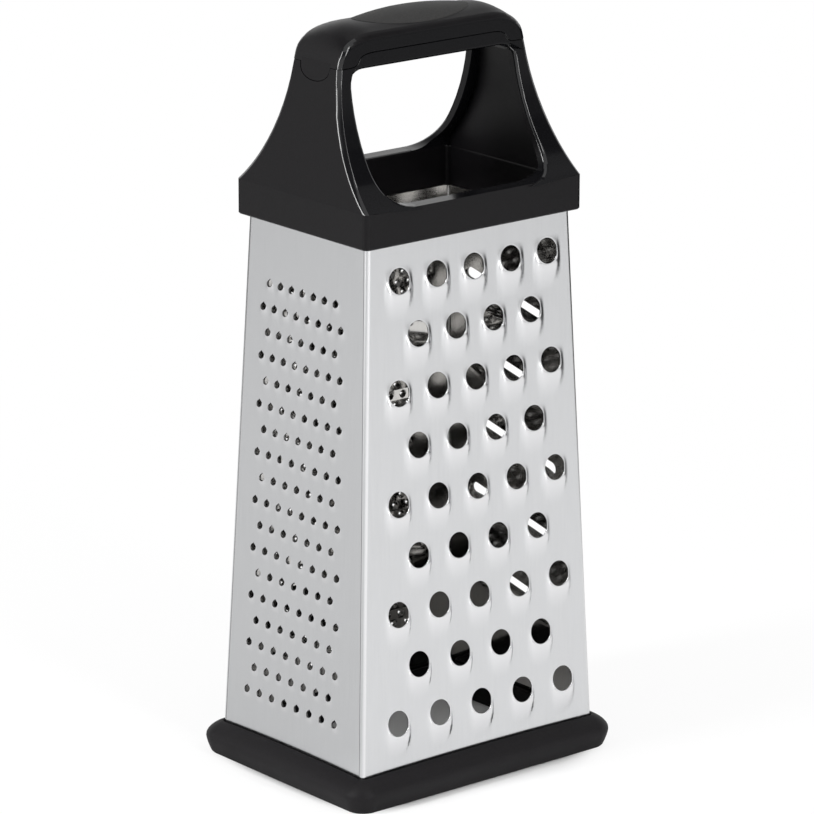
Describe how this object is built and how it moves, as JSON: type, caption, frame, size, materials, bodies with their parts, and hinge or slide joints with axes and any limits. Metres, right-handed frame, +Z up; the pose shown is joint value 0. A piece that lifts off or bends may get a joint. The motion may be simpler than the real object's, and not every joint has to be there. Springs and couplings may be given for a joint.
{
  "type": "box grater",
  "caption": "Tapered four-sided standing grater: coarse, fine, slicing and rasp steel faces, moulded arch handle with soft grip pad, and a rubber ring foot.",
  "frame": {"origin": "on the floor, under the middle of the base ring", "axes": "+Z up through the handle, +X along the wide faces towards the slicing face, -Y out of the coarse face"},
  "size_m": [0.106, 0.0816, 0.24],
  "materials": {
    "steel": "satin-polished stainless sheet",
    "handle_plastic": "black moulded plastic, satin to glossy",
    "soft_pad": "matte soft-touch overmould",
    "ring_rubber": "matte black rubber"
  },
  "bodies": {
    "root": {"coarse_face": "steel", "fine_face": "steel", "rasp_face": "steel", "slicer_face": "steel", "handle_frame": "handle_plastic", "grip_cap": "handle_plastic", "grip_pad": "soft_pad", "base_ring": "ring_rubber"}
  },
  "joints": []
}
